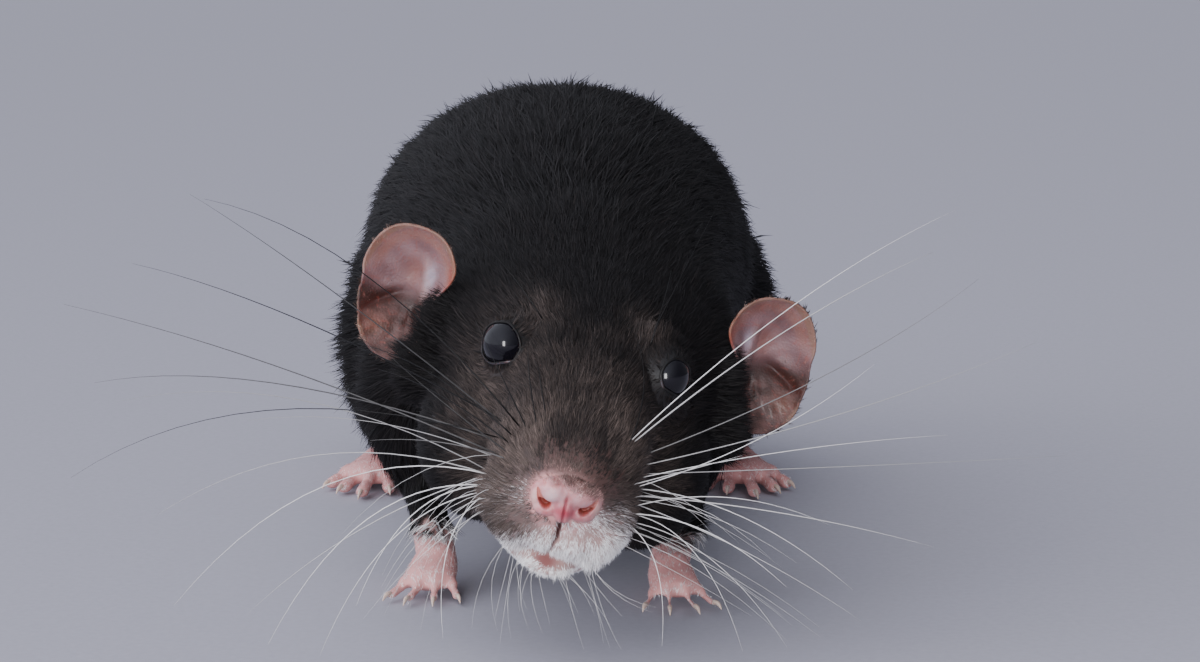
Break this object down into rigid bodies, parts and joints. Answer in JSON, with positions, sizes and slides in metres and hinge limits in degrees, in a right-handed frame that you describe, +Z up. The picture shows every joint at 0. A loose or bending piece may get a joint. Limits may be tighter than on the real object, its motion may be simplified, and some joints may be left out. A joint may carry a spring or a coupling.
{
  "type": "domestic rat",
  "caption": "Still, life-size model of a black domestic rat with a pale muzzle, standing on all fours with its head low and tilted and its tail laid behind it.",
  "frame": {"origin": "middle of the model's footprint, on the ground", "axes": "+Z up; the rat faces -Y and its left side is +X"},
  "size_m": [0.1494, 0.3722, 0.0812],
  "materials": {
    "black_fur": "short black-brown coat with a soft sheen",
    "muzzle_fur": "very short grey-brown hair, paler towards the lips",
    "white_fur": "very short white hair",
    "pink_skin": "bare moist pink skin",
    "ear_skin": "thin pink-brown skin with fine down",
    "tail_skin": "scaly skin in rings with sparse bristles",
    "eye": "wet black gloss"
  },
  "bodies": {
    "root": {"nose": "pink_skin", "snout": "muzzle_fur", "whisker_pad_left": "muzzle_fur", "whisker_pad_right": "muzzle_fur", "lower_jaw": "white_fur", "head": "black_fur", "eye_left": "eye", "eye_right": "eye", "ear_left": "ear_skin", "ear_right": "ear_skin", "neck": "black_fur", "chest": "black_fur", "belly": "black_fur", "rump": "black_fur", "tail_1": "tail_skin", "tail_2": "tail_skin", "tail_3": "tail_skin", "tail_4": "tail_skin", "upper_arm_left": "black_fur", "forearm_left": "black_fur", "forefoot_left": "pink_skin", "thigh_left": "black_fur", "shank_left": "black_fur", "hind_foot_left": "pink_skin", "upper_arm_right": "black_fur", "forearm_right": "black_fur", "forefoot_right": "pink_skin", "thigh_right": "black_fur", "shank_right": "black_fur", "hind_foot_right": "pink_skin"}
  },
  "joints": []
}
